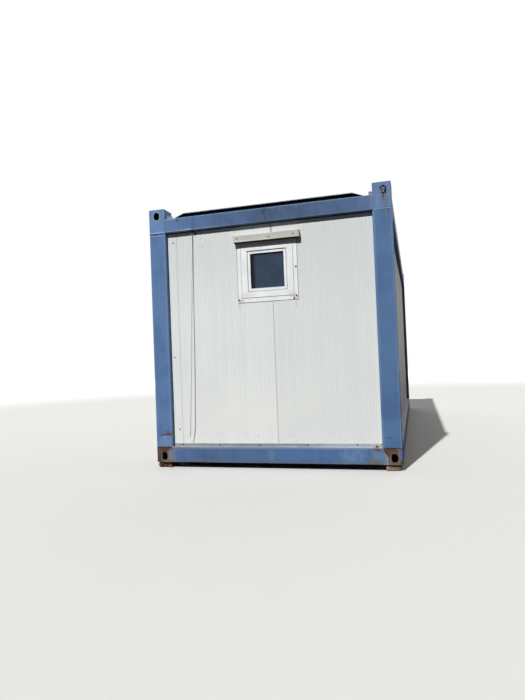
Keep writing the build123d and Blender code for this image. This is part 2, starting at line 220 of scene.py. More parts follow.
# Marks on the window end. Each is a ragged blot: tone, place across and up, half width, half height, and
# how strongly it shows.
mark_depth, mark_grain, mark_ragged, mark_soft = 0.5, 55.0, 0.9, 0.55
smudge = (54, 66, 88)
left_post_marks = (
    ((146, 160, 186), -1.130, 2.375, 0.085, 0.005, 0.95), ((46, 60, 72), -1.130, 2.388, 0.085, 0.007, 0.95),
    ((106, 138, 176), -1.120, 0.262, 0.085, 0.052, 0.85), ((110, 124, 140), -1.130, 0.220, 0.085, 0.008, 0.6),
    ((78, 112, 172), -1.185, 0.375, 0.020, 0.020, 0.5), ((130, 128, 136), -1.090, 0.322, 0.040, 0.010, 0.6),
    ((84, 66, 68), -1.075, 0.338, 0.034, 0.013, 0.9), ((92, 70, 68), -1.125, 0.335, 0.032, 0.009, 0.9),
    ((98, 74, 70), -1.092, 0.353, 0.016, 0.010, 0.8), ((80, 78, 84), -1.160, 0.330, 0.012, 0.010, 0.7),
    ((164, 150, 154), -1.124, 0.318, 0.018, 0.007, 0.8), (smudge, -1.100, 0.366, 0.045, 0.004, 0.4),
)
right_post_marks = (
    # The first mark below, low on the right post, is a painted plant shadow.
    ((72, 98, 140), 1.130, 0.560, 0.120, 0.100, 0.7), ((88, 116, 154), 1.130, 1.450, 0.120, 0.200, 0.5),
    ((102, 116, 126), 1.168, 2.352, 0.012, 0.036, 0.6), ((104, 104, 108), 1.160, 2.378, 0.012, 0.012, 0.6),
    ((74, 62, 60), 1.162, 2.391, 0.032, 0.005, 0.85), (smudge, 1.115, 0.300, 0.035, 0.006, 0.5),
)
header_marks = (
    ((136, 154, 184), -0.965, 2.531, 0.080, 0.006, 0.8), (smudge, -0.370, 2.462, 0.035, 0.022, 0.25),
    ((50, 62, 80), 0.005, 2.500, 0.020, 0.034, 0.6), ((50, 62, 80), 0.035, 2.515, 0.008, 0.018, 0.6),
    ((54, 66, 84), 0.075, 2.490, 0.006, 0.036, 0.5), ((54, 66, 84), 0.135, 2.500, 0.010, 0.026, 0.5),
    ((54, 66, 84), 0.025, 2.430, 0.014, 0.024, 0.5), ((54, 66, 84), 0.360, 2.500, 0.014, 0.020, 0.4),
    ((110, 122, 150), 1.040, 2.470, 0.018, 0.075, 0.7), ((52, 76, 100), -0.906, 2.513, 0.007, 0.020, 0.9),
    ((64, 84, 116), -0.878, 2.520, 0.005, 0.014, 0.8), ((136, 152, 174), -0.810, 2.405, 0.045, 0.007, 0.8),
    ((124, 144, 172), -0.920, 2.400, 0.100, 0.004, 0.5), ((176, 190, 212), -0.796, 2.408, 0.024, 0.005, 0.8),
    ((146, 162, 190), -0.850, 2.405, 0.050, 0.005, 0.6),
)
sill_marks = (
    ((112, 128, 146), -1.034, 0.130, 0.024, 0.070, 0.9), ((92, 112, 152), -0.995, 0.130, 0.030, 0.060, 0.5),
    ((106, 134, 170), 0.780, 0.140, 0.120, 0.060, 0.75), ((112, 112, 116), -1.005, 0.197, 0.040, 0.010, 0.7),
    ((84, 112, 158), 0.180, 0.140, 0.320, 0.050, 0.8), ((106, 120, 144), -0.965, 0.180, 0.060, 0.011, 0.7),
    ((116, 138, 174), -0.893, 0.165, 0.005, 0.030, 0.7), ((104, 130, 168), -0.868, 0.130, 0.008, 0.030, 0.5),
    ((62, 84, 130), -0.908, 0.172, 0.005, 0.022, 0.6), ((94, 110, 122), -0.800, 0.088, 0.090, 0.009, 0.6),
    ((70, 86, 116), -0.690, 0.140, 0.012, 0.040, 0.4), ((84, 108, 158), -0.900, 0.140, 0.100, 0.040, 0.7),
    ((80, 98, 162), 0.750, 0.165, 0.030, 0.030, 0.5), ((84, 100, 160), 0.820, 0.120, 0.022, 0.040, 0.5),
    ((110, 124, 144), -0.010, 0.140, 0.030, 0.060, 0.6), ((100, 120, 148), 1.010, 0.135, 0.055, 0.065, 0.8),
    ((112, 124, 158), 0.978, 0.145, 0.024, 0.036, 0.6), ((90, 124, 166), 1.018, 0.140, 0.024, 0.034, 0.8),
    ((110, 138, 164), 1.043, 0.115, 0.009, 0.045, 0.8), ((110, 88, 86), 0.995, 0.197, 0.045, 0.011, 0.85),
    ((84, 62, 64), 1.005, 0.188, 0.022, 0.007, 0.8), ((112, 98, 90), 0.990, 0.074, 0.050, 0.020, 0.8),
    ((118, 112, 88), 0.945, 0.090, 0.026, 0.030, 0.5),
)
left_fitting_marks = (
    ((150, 160, 176), -1.135, 2.573, 0.041, 0.050, 0.55), ((138, 154, 184), -1.053, 2.600, 0.007, 0.050, 0.8),
    ((152, 168, 192), -1.130, 2.407, 0.085, 0.005, 0.95),
)
right_fitting_marks = (
    ((112, 122, 152), 1.056, 2.480, 0.012, 0.085, 0.6), ((110, 140, 176), 1.094, 2.490, 0.014, 0.085, 0.5),
    ((112, 140, 174), 1.206, 2.480, 0.010, 0.085, 0.5), ((120, 128, 160), 1.148, 2.575, 0.040, 0.049, 0.5),
    ((102, 110, 114), 1.163, 2.460, 0.012, 0.072, 0.75), ((118, 108, 102), 1.160, 2.520, 0.008, 0.024, 0.7),
    ((104, 108, 120), 1.138, 2.500, 0.016, 0.036, 0.7), ((64, 56, 60), 1.149, 2.512, 0.006, 0.028, 0.95),
    ((130, 120, 134), 1.185, 2.520, 0.008, 0.020, 0.5), ((92, 64, 44), 1.169, 2.540, 0.009, 0.010, 0.9),
)
left_rust_marks = (
    ((104, 98, 98), -1.166, 0.115, 0.010, 0.050, 0.6), ((112, 106, 106), -1.092, 0.120, 0.020, 0.060, 0.7),
    ((124, 126, 134), -1.066, 0.125, 0.026, 0.066, 0.9), ((116, 132, 148), -1.048, 0.125, 0.014, 0.070, 0.9),
    ((118, 98, 82), -1.100, 0.072, 0.050, 0.012, 0.7), ((150, 126, 108), -1.120, 0.058, 0.040, 0.006, 0.8),
    ((94, 63, 51), -1.195, 0.150, 0.016, 0.030, 0.8), ((80, 58, 47), -1.130, 0.188, 0.050, 0.018, 0.7),
    ((126, 112, 108), -1.052, 0.075, 0.012, 0.020, 0.6),
)
right_rust_marks = (
    ((112, 116, 122), 1.190, 0.150, 0.016, 0.052, 0.7), ((84, 102, 150), 1.206, 0.148, 0.015, 0.050, 0.95),
    ((120, 106, 90), 1.130, 0.064, 0.070, 0.010, 0.7), ((108, 70, 52), 1.130, 0.170, 0.034, 0.022, 0.8),
    ((124, 112, 100), 1.112, 0.100, 0.010, 0.046, 0.7), ((140, 104, 80), 1.182, 0.086, 0.014, 0.018, 0.8),
    ((98, 108, 108), 1.190, 0.200, 0.022, 0.008, 0.7), ((72, 62, 62), 1.105, 0.200, 0.040, 0.008, 0.7),
    ((124, 104, 84), 1.150, 0.166, 0.012, 0.006, 0.5),
)
panel_marks = (
    ((90, 86, 78), -0.724, 2.330, 0.005, 0.007, 0.6), ((96, 90, 80), -0.665, 2.310, 0.006, 0.007, 0.6),
    ((110, 104, 94), -0.697, 2.243, 0.006, 0.006, 0.5), ((110, 104, 94), -0.658, 2.233, 0.010, 0.005, 0.6),
    ((120, 120, 116), 0.066, 2.330, 0.006, 0.040, 0.7), ((166, 162, 156), -0.285, 1.600, 0.008, 0.050, 0.35),
    ((168, 166, 162), 0.290, 1.600, 0.008, 0.050, 0.3),
)
flashing_marks = (
    ((112, 92, 78), -0.988, 0.217, 0.011, 0.008, 0.8), ((104, 86, 74), -0.945, 0.230, 0.014, 0.006, 0.7),
    ((150, 132, 124), 0.995, 0.216, 0.040, 0.008, 0.7), ((60, 44, 42), 0.992, 0.2185, 0.012, 0.008, 0.9),
    ((112, 114, 116), 1.036, 0.238, 0.008, 0.010, 0.8),
)
window_marks = (
    ((226, 208, 200), 0.190, 2.120, 0.046, 0.020, 0.5), ((222, 208, 206), 0.205, 2.060, 0.012, 0.060, 0.35),
    ((214, 202, 198), 0.240, 1.690, 0.042, 0.024, 0.5), ((196, 186, 180), 0.252, 1.662, 0.026, 0.012, 0.6),
    ((190, 186, 178), -0.262, 1.645, 0.030, 0.016, 0.7), ((178, 176, 172), 0.290, 1.650, 0.026, 0.020, 0.6),
    ((206, 202, 196), -0.200, 1.700, 0.050, 0.020, 0.35),
)

# Paint left on the front right bottom fitting: top and foot (x, z) of the line left of which it stays,
# and its tones on the whole and along that line
paint_line = ((1.052, 0.200), (1.092, 0.105))
paint_tones = ((100, 126, 154), (128, 134, 138))

# Other tones: patches of rust as (value, tone), and painted shade inside a fitting. Below rust_line, which
# wanders by rust_wander, bare rust shows on the frame.
rust_tones = ((0.30, (48, 33, 27)), (0.48, (88, 62, 47)), (0.60, (116, 78, 56)), (0.75, (150, 106, 78)))
brown_tones = ((0.30, (56, 45, 37)), (0.48, (72, 59, 47)), (0.60, (83, 69, 56)), (0.75, (104, 87, 71)))
inside_shade_tone = (22, 17, 15)
rust_line, rust_wander = 0.078, 0.05


# Materials

finishes = {}


def srgb(red, green, blue):
    """Linear colour of a display colour given in the range 0 to 255."""
    def linear(value):
        value /= 255
        return value / 12.92 if value <= 0.04045 else ((value + 0.055) / 1.055) ** 2.4
    return (linear(red), linear(green), linear(blue), 1.0)


class Nodes:
    """Short ways to add nodes to a tree. Each value is a number, or what another node gives."""

    def __init__(self, tree):
        self.tree = tree

    def feed(self, socket, value):
        if isinstance(value, bpy.types.NodeSocket):
            self.tree.links.new(value, socket)
        else:
            socket.default_value = value

    def node(self, kind, inputs=None, **settings):
        made = self.tree.nodes.new(kind)
        for key, value in settings.items():
            setattr(made, key, value)
        for key, value in (inputs or {}).items():
            self.feed(made.inputs[key], value)
        return made

    def maths(self, operation, first, second=0.0):
        return self.node("ShaderNodeMath", {0: first, 1: second}, operation=operation).outputs[0]

    def times(self, product, *factors):
        for factor in factors:
            product = self.maths("MULTIPLY", product, factor)
        return product

    def spread(self, value, start, end, to_start=0.0, to_end=1.0):
        """Eases from to_start to to_end while the value goes from start to end."""
        inputs = {"Value": value, "From Min": start, "From Max": end, "To Min": to_start, "To Max": to_end}
        return self.node("ShaderNodeMapRange", inputs, interpolation_type="SMOOTHSTEP").outputs[0]


class Finish(Nodes):
    """A material made of layers, each laid over the colour so far by the place of a point on the piece."""

    def __init__(self, name, roughness=0.5, metallic=0.0, specular=0.5):
        material = bpy.data.materials.new(name)
        material.use_nodes = True
        super().__init__(material.node_tree)
        self.shader = self.tree.nodes["Principled BSDF"].inputs
        self.give("Roughness", roughness)
        self.give("Metallic", metallic)
        self.give("Specular IOR Level", specular)
        self.place = self.node("ShaderNodeTexCoord").outputs["Object"]
        self.x, self.y, self.z = self.node("ShaderNodeSeparateXYZ", {0: self.place}).outputs
        finishes[name] = material

    def give(self, property_name, value):
        self.feed(self.shader[property_name], value)

    def vector(self, operation, first, second=(0, 0, 0)):
        return self.node("ShaderNodeVectorMath", {0: first, 1: second}, operation=operation).outputs[0]

    def distance(self, place):
        return self.node("ShaderNodeVectorMath", {0: place}, operation="LENGTH").outputs["Value"]

    def noise(self, scale, detail=3.0, stretch=(1, 1, 1), shift=(0, 0, 0), rough=0.55):
        place = self.node("ShaderNodeMapping", {"Vector": self.place, "Scale": stretch, "Location": shift})
        inputs = {"Vector": place.outputs[0], "Scale": scale, "Detail": detail, "Roughness": rough}
        return self.node("ShaderNodeTexNoise", inputs).outputs["Fac"]

    def band(self, value, start, stop, soft):
        """Mask of a band: 1 while the value is from start to stop, fading over soft on both sides."""
        rise = self.spread(value, start - soft, start)
        return self.times(rise, self.spread(value, stop, stop + soft, 1.0, 0.0))

    def mix(self, factor, first, second):
        return self.node("ShaderNodeMix", {0: factor, 6: first, 7: second}, data_type="RGBA").outputs[2]

    def ramp(self, value, stops):
        """Colour for a value; stops are (value, display tone)."""
        made = self.node("ShaderNodeValToRGB", {0: value})
        elements = made.color_ramp.elements
        while len(elements) < len(stops):
            elements.new(1.0)
        for element, (position, tone) in zip(elements, stops):
            element.position = position
            element.color = srgb(*tone)
        return made.outputs[0]

    def rust(self, tones, grain):
        return self.ramp(self.noise(grain, 6.0, rough=0.65), tones)

    def paint(self, colour):
        """Takes this colour for the surface so far."""
        self.colour = colour
        self.give("Base Color", colour)

    def base(self, first, second, pattern, start, end):
        """Starts with two tones, the second where the pattern is above end and the first below start."""
        self.paint(self.mix(self.spread(pattern, start, end), srgb(*first), srgb(*second)))

    def lay(self, tone, *masks):
        """Lays a tone over the colour so far, as strongly as all the masks together say."""
        self.paint(self.mix(self.times(*masks), self.colour, srgb(*tone)))

    def fade(self, tone, value, start, end, amount=1.0):
        """Lays a tone that sets in while the value goes from start to end, up to the amount."""
        self.lay(tone, self.spread(value, start, end, 0.0, amount))

    def mark(self, marks):
        """Lays the ragged blots of a list of marks."""
        for tone, x, z, half_width, half_height, amount in marks:
            centre = (x, front_face, z)
            away = self.vector("SUBTRACT", self.place, centre)
            away = self.vector("DIVIDE", away, (half_width, mark_depth, half_height))
            wander = self.times(self.noise(mark_grain, 4.0, shift=centre), 2 * mark_ragged)
            edge = self.maths("SUBTRACT", self.maths("ADD", self.distance(away), wander), mark_ragged)
            self.lay(tone, self.spread(edge, 1.0 + mark_soft, 1.0 - mark_soft), amount)

    def paint_inside_shade(self, node):
        """Paints shade on what lies inside a node, a few millimetres below all the faces of its box."""
        low_corner, high_corner = (Vector(corner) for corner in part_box(node))
        middle, half = (low_corner + high_corner) / 2, (high_corner - low_corner) / 2
        away = self.vector("ABSOLUTE", self.vector("SUBTRACT", self.place, middle))
        below = self.node("ShaderNodeSeparateXYZ", {0: self.vector("SUBTRACT", half, away)}).outputs
        nearest = self.maths("MINIMUM", self.maths("MINIMUM", below[0], below[1]), below[2])
        self.fade(inside_shade_tone, nearest, 0.003, 0.009)

    def gloss(self, value, start, end, to_start, to_end):
        """Roughness that eases from to_start to to_end while the value goes from start to end."""
        self.give("Roughness", self.spread(value, start, end, to_start, to_end))

    def relief(self, height, depth, strength):
        inputs = {"Height": height, "Distance": depth, "Strength": strength}
        self.give("Normal", self.node("ShaderNodeBump", inputs).outputs[0])


def blue_paint(name, tone, marks=(), runs=0.3, faded=0.2, rusty=False, layer=None, inside=None):
    """Weathered blue paint with marks on it; layer lays the finish's own layers below the marks."""
    finish = Finish(name, roughness=0.46, specular=0.12)
    red, green, blue = tone
    deep = (red * 0.93, green * 0.95, blue * 0.96)
    clear = (red * 1.05, green * 1.04, blue * 1.03)
    chalk = (red * 1.20, green * 1.14, blue * 1.06)
    finish.base(deep, clear, finish.noise(3.2, 4.0), 0.36, 0.64)
    finish.fade(chalk, finish.noise(9.0, 6.0, shift=(3, 1, 2), rough=0.7), 0.50, 0.74, faded * 2)
    if layer:
        layer(finish)
    finish.fade((66, 80, 98), finish.noise(26.0, 4.0, stretch=(1, 1, 0.07), rough=0.6), 0.52, 0.74, runs)
    finish.fade((58, 66, 82), finish.noise(150.0, 3.0, shift=(1, 4, 2)), 0.68, 0.76, 0.4)
    finish.mark(marks)
    height = finish.maths("ADD", finish.noise(7.0, 2.0), finish.times(finish.noise(180.0, 3.0), 0.08))
    if rusty:
        specked = finish.times(finish.noise(58.0, 5.0), finish.noise(5.0, 2.0, shift=(7, 3, 1)))
        ragged = finish.maths("SUBTRACT", finish.z, finish.times(finish.noise(38.0, 5.0), rust_wander))
        foot = finish.spread(ragged, rust_line, rust_line - 0.012)
        bare = finish.maths("MAXIMUM", finish.spread(specked, 0.385, 0.42), foot)
        finish.paint(finish.mix(bare, finish.colour, finish.rust(rust_tones, 45.0)))
        finish.gloss(bare, 0.0, 1.0, 0.46, 0.88)
        height = finish.maths("ADD", height, finish.times(finish.noise(120.0, 5.0), bare, 0.5))
    if inside:
        # painted shade inside the fitting's hollow
        finish.paint_inside_shade(inside)
    finish.relief(height, 0.0022, 0.45)


def post_layer(finish):
    """Paler upright edges of a front post: rubbed paint, and a painted highlight on their rounded corners."""
    across = finish.maths("ABSOLUTE", finish.x)
    # rubbed paint and painted highlight along the rounded edges
    inner = finish.spread(across, post_x + 0.030, post_x + 0.012)
    outer = finish.spread(across, -left_side - 0.022, -left_side - 0.008)
    finish.lay((116, 144, 180), finish.maths("MAXIMUM", inner, outer), 0.4)


def header_layer(finish):
    """Grime on the front header but for its paler left end, and its paler upper and lower edges: rubbed paint
    and a painted highlight.
    """
    grime = finish.times(finish.spread(finish.x, -0.95, 0.05), finish.spread(finish.x, 0.40, 0.98, 1.0, 0.5))
    uneven = finish.noise(7.0, 5.0, shift=(2, 8, 1), rough=0.65)
    finish.lay((69, 87, 115), grime, finish.spread(uneven, 0.30, 0.62, 0.5, 1.0))
    finish.fade((98, 124, 164), finish.x, -0.65, -0.95, 0.6)
    # paler upper edge: rubbed paint and painted highlight
    finish.fade((126, 146, 178), finish.z, header_top - 0.018, header_top - 0.006, 0.3)
    # paler lower edge: rubbed paint and painted highlight
    edge = finish.spread(finish.z, header_bottom + 0.018, header_bottom + 0.008)
    finish.lay((132, 148, 176), edge, finish.spread(finish.x, -0.60, -0.30, 0.75, 0.15))


def sill_layer(finish):
    """Dust, a line of rust and a thin grey film on the front sill, and its rubbed upper edge."""
    broken = finish.noise(16.0, 5.0, stretch=(1, 1, 3), shift=(6, 6, 2), rough=0.7)
    dust = finish.times(finish.band(finish.z, sill_foot + 0.009, sill_foot + 0.021, 0.008), 0.75)
    finish.lay((112, 106, 98), dust, finish.spread(broken, 0.36, 0.60))
    rust = finish.times(finish.band(finish.z, sill_foot - 0.01, sill_foot + 0.007, 0.006), 0.8)
    finish.lay((82, 62, 52), rust, finish.band(finish.x, -0.87, -0.70, 0.05))
    film = finish.spread(finish.noise(9.0, 5.0, shift=(3, 1, 7), rough=0.7), 0.34, 0.58, 0.0, 0.3)
    finish.lay((84, 97, 112), film, finish.band(finish.x, -0.84, -0.10, 0.08))
    finish.fade((112, 130, 148), finish.z, sill_top - 0.026, sill_top - 0.012, 0.7)


def rusted_fitting(name, node=None, marks=(), painted=False):
    """Fitting whose paint is nearly gone. If painted, a strip of it stays left of the paint line."""
    finish = Finish(name, specular=0.2)
    finish.paint(finish.rust(brown_tones, 32.0))
    finish.fade((80, 62, 54), finish.z, sill_top - 0.060, sill_top - 0.010, 0.45)
    finish.fade((126, 112, 98), finish.noise(14.0, 5.0, rough=0.65), 0.48, 0.70, 0.35)
    finish.mark(marks)
    if painted:
        (x_top, z_top), (x_foot, z_foot) = paint_line
        ragged = finish.times(finish.maths("SUBTRACT", finish.noise(40.0, 4.0), 0.5), 0.03)
        line = finish.spread(finish.z, z_foot, z_top, x_foot, x_top)
        past = finish.maths("SUBTRACT", finish.maths("ADD", finish.x, ragged), line)
        tone, line_tone = (srgb(*tone) for tone in paint_tones)
        paint = finish.mix(finish.spread(past, -0.030, -0.008), tone, line_tone)
        finish.paint(finish.mix(finish.spread(past, 0.008, -0.006), finish.colour, paint))
    if node:
        # painted shade inside the fitting's hollow
        finish.paint_inside_shade(node)
    finish.gloss(finish.noise(60.0), 0.3, 0.7, 0.7, 0.95)
    scale = finish.maths("ADD", finish.noise(60.0, 6.0, rough=0.7), finish.times(finish.noise(18.0), 0.8))
    finish.relief(scale, 0.0025, 0.6)


def panel_sheet(name):
    """Coated white sheet of the walls: darker in the grooves, faint upright streaks, painted light that makes
    it paler low down, and dirt low down.
    """
    finish = Finish(name, specular=0.12)
    streaks = finish.noise(34.0, 3.0, stretch=(1, 1, 0.012), rough=0.6)
    tones = (0.32, (219, 222, 221)), (0.50, (223, 226, 224)), (0.68, (227, 229, 227))
    finish.paint(finish.ramp(streaks, tones))
    groove = finish.node("ShaderNodeAttribute", attribute_name="groove").outputs["Fac"]
    finish.lay((205, 209, 207), groove, 0.2)
    finish.fade((206, 211, 211), finish.z, 1.4, 2.3, 0.6)
    # paler towards the bottom: painted light
    finish.fade((230, 231, 228), finish.z, 1.15, 0.45, 0.7)
    finish.fade((176, 180, 180), finish.x, right_joint, right_joint + 0.001, 0.12)
    on_front = finish.spread(finish.y, wall_front + 0.02, wall_front + 0.01)
    for joint, amount in ((left_joint, 0.25), (right_joint, 0.6)):
        line = finish.band(finish.x, joint - 0.003, joint + 0.003, 0.002)
        finish.lay((158, 160, 158), line, on_front, amount)
    finish.fade((209, 213, 212), finish.noise(1.6, 3.0, shift=(5, 2, 0)), 0.40, 0.66, 0.3)
    drips = finish.noise(48.0, 4.0, stretch=(1, 1, 0.05), shift=(2, 9, 4), rough=0.7)
    below_header = finish.spread(finish.z, header_bottom - 0.40, header_bottom, 0.0, 0.35)
    finish.lay((176, 176, 172), finish.spread(drips, 0.54, 0.72), below_header)
    splash = finish.noise(20.0, 6.0, shift=(4, 4, 4), rough=0.75)
    near_floor = finish.spread(finish.z, flashing_top + 0.16, flashing_top, 0.0, 0.45)
    finish.lay((172, 168, 160), finish.spread(splash, 0.52, 0.72), near_floor)
    finish.fade((120, 120, 118), finish.noise(110.0, 2.0, shift=(6, 1, 3)), 0.75, 0.80, 0.4)
    finish.mark(panel_marks)
    finish.gloss(finish.noise(24.0, 4.0), 0.3, 0.7, 0.38, 0.52)
    finish.relief(finish.noise(60.0, 2.0, stretch=(1, 1, 0.2)), 0.0004, 0.35)


def flashing_sheet(name):
    """Grey-blue folded sheet on the sill, with dirt along it and grey-beige ends."""
    finish = Finish(name, roughness=0.45, specular=0.3)
    finish.base((126, 135, 143), (142, 149, 156), finish.noise(8.0, 4.0), 0.4, 0.65)
    smears = finish.noise(24.0, 5.0, stretch=(0.35, 0.35, 1.4), rough=0.7)
    finish.fade((112, 114, 114), smears, 0.50, 0.68, 0.5)
    finish.fade((160, 168, 180), finish.x, 0.22, 0.60, 0.8)
    finish.fade((146, 148, 150), finish.x, -0.50, -0.80, 0.8)
    for side, tone in ((-1, (160, 154, 148)), (1, (180, 173, 168))):
        finish.fade(tone, finish.x, side * (post_x - 0.14), side * (post_x - 0.06), 0.8)
    finish.lay((188, 192, 194), finish.band(finish.z, flashing_top - 0.004, flashing_top + 0.01, 0.003), 0.6)
    line = finish.band(finish.z, flashing_top - 0.010, flashing_top - 0.008, 0.003)
    dirty = finish.spread(smears, 0.34, 0.60, 0.4, 1.0)
    finish.lay((104, 106, 110), line, dirty, finish.spread(finish.x, 0.30, 0.60, 1.0, 0.25))
    finish.mark(flashing_marks)
    finish.relief(finish.noise(30.0, 3.0), 0.0016, 0.5)


def plastic(name):
    """White window plastic: fine mitre lines, dirt in its corners and faint stains."""
    finish = Finish(name, specular=0.25)
    finish.base((228, 230, 232), (237, 239, 240), finish.noise(6.0, 4.0), 0.4, 0.65)
    film = finish.noise(40.0, 5.0, rough=0.7)
    finish.fade((200, 197, 192), film, 0.56, 0.75, 0.25)
    x0, x1, z0, z1 = rectangle("window_frame")
    half = (x1 - x0) / 2
    across = finish.maths("ABSOLUTE", finish.maths("SUBTRACT", finish.x, (x0 + x1) / 2))
    up = finish.maths("ABSOLUTE", finish.maths("SUBTRACT", finish.z, (z0 + z1) / 2))
    on_frame = finish.spread(finish.maths("MAXIMUM", across, up), half - 0.0005, half - 0.0010)
    off_mitre = finish.maths("ABSOLUTE", finish.maths("ADD", finish.maths("SUBTRACT", across, up), 0.0015))
    finish.lay((128, 126, 124), finish.spread(off_mitre, 0.0010, 0.0004), on_frame, 0.6)
    finish.mark(window_marks)
    finish.gloss(film, 0.3, 0.7, 0.24, 0.42)
    finish.relief(finish.noise(80.0, 2.0), 0.0003, 0.3)


def weathered_timber(name):
    """Grey weathered wood with worn pale paint, grain along X, checks that have opened along it, a painted
    highlight along its lower edge and painted shade on its underside.
    """
    finish = Finish(name, roughness=0.85, specular=0.2)
    grain = finish.noise(42.0, 6.0, stretch=(0.05, 1, 1), rough=0.65)
    tones = (0.32, (176, 175, 168)), (0.47, (194, 194, 187)), (0.58, (203, 203, 196)), (0.72, (209, 209, 202))
    finish.paint(finish.ramp(grain, tones))
    checks = finish.spread(finish.noise(150.0, 3.0, stretch=(0.018, 1, 1), shift=(1, 5, 2)), 0.64, 0.71)
    finish.lay((108, 102, 92), checks, 0.6)
    # painted highlight along the lower edge of the face
    finish.fade((216, 216, 209), finish.z, batten_bottom + 0.022, batten_bottom + 0.008, 0.6)
    old = finish.noise(9.0, 5.0, stretch=(0.4, 1, 1), shift=(2, 2, 2))
    finish.fade((162, 154, 136), old, 0.56, 0.72, 0.4)
    finish.fade((172, 171, 160), finish.x, 0.02, 0.16, 0.45)
    # painted shade on the underside
    finish.fade((44, 43, 40), finish.z, batten_bottom + 0.0022, batten_bottom + 0.0008)
    finish.relief(finish.maths("SUBTRACT", grain, finish.times(checks, 1.2)), 0.0012, 0.7)


def roof_metal(name):
    """Dull galvanised sheet, with dirt lying on it."""
    finish = Finish(name, metallic=0.35)
    finish.base((126, 129, 133), (146, 149, 152), finish.noise(30.0, 3.0, rough=0.7), 0.4, 0.6)
    litter = finish.noise(5.0, 7.0, rough=0.72)
    finish.fade((104, 101, 92), litter, 0.44, 0.72, 0.4)
    finish.gloss(litter, 0.4, 0.7, 0.58, 0.78)
    finish.relief(finish.noise(22.0, 4.0), 0.0018, 0.5)


def glazing(name):
    """Dark double glazing: faint dust on the pane, a painted bluish sky reflection, the unlit room behind it,
    and the painted shade of its reveal.
    """
    finish = Finish(name, specular=0.2)
    finish.give("Alpha", 0.86)
    dust = finish.noise(5.0, 5.0, rough=0.7)
    # bluish tones: painted sky reflection over the dark glass
    finish.base((48, 64, 84), (56, 72, 94), dust, 0.35, 0.7)
    reveal = low("window_sash")[0] + sash_band
    # painted shade of the reveal along the pane's left side
    for tone, start, end, amount in (((26, 34, 50), 0.052, 0.038, 0.7), ((9, 14, 22), 0.034, 0.020, 1.0)):
        finish.fade(tone, finish.x, reveal + start, reveal + end, amount)
    finish.gloss(dust, 0.4, 0.75, 0.04, 0.16)


def eye_paint(name):
    """Blue-grey paint of the eye in the top right aperture, darker towards its crown."""
    finish = Finish(name, roughness=0.6, specular=0.1)
    finish.paint(finish.mix(finish.noise(40.0), srgb(80, 92, 126), srgb(100, 110, 144)))
    middle = (eye_x - 0.002, front_face, eye_z + 0.005)
    finish.fade((38, 48, 78), finish.distance(finish.vector("SUBTRACT", finish.place, middle)), 0.018, 0.025)


def rough_stone(name, dark, middle, pale):
    """Rough block of stone in three tones."""
    finish = Finish(name, roughness=0.95, specular=0.2)
    finish.paint(finish.ramp(finish.noise(26.0, 7.0, rough=0.7), ((0.32, dark), (0.5, middle), (0.68, pale))))
    finish.relief(finish.noise(70.0, 6.0, rough=0.7), 0.004, 0.9)


def plain(name, first, second, scale, roughness, depth=0.0006, metallic=0.0, stretch=(1, 1, 1), specular=0.4):
    """A quiet finish for a small or hidden piece: two close tones, and a fine relief."""
    finish = Finish(name, roughness, metallic, specular)
    finish.base(first, second, finish.noise(scale, 5.0, stretch=stretch, rough=0.65), 0.38, 0.64)
    finish.relief(finish.noise(scale * 4, 4.0, stretch=stretch), depth, 0.6)


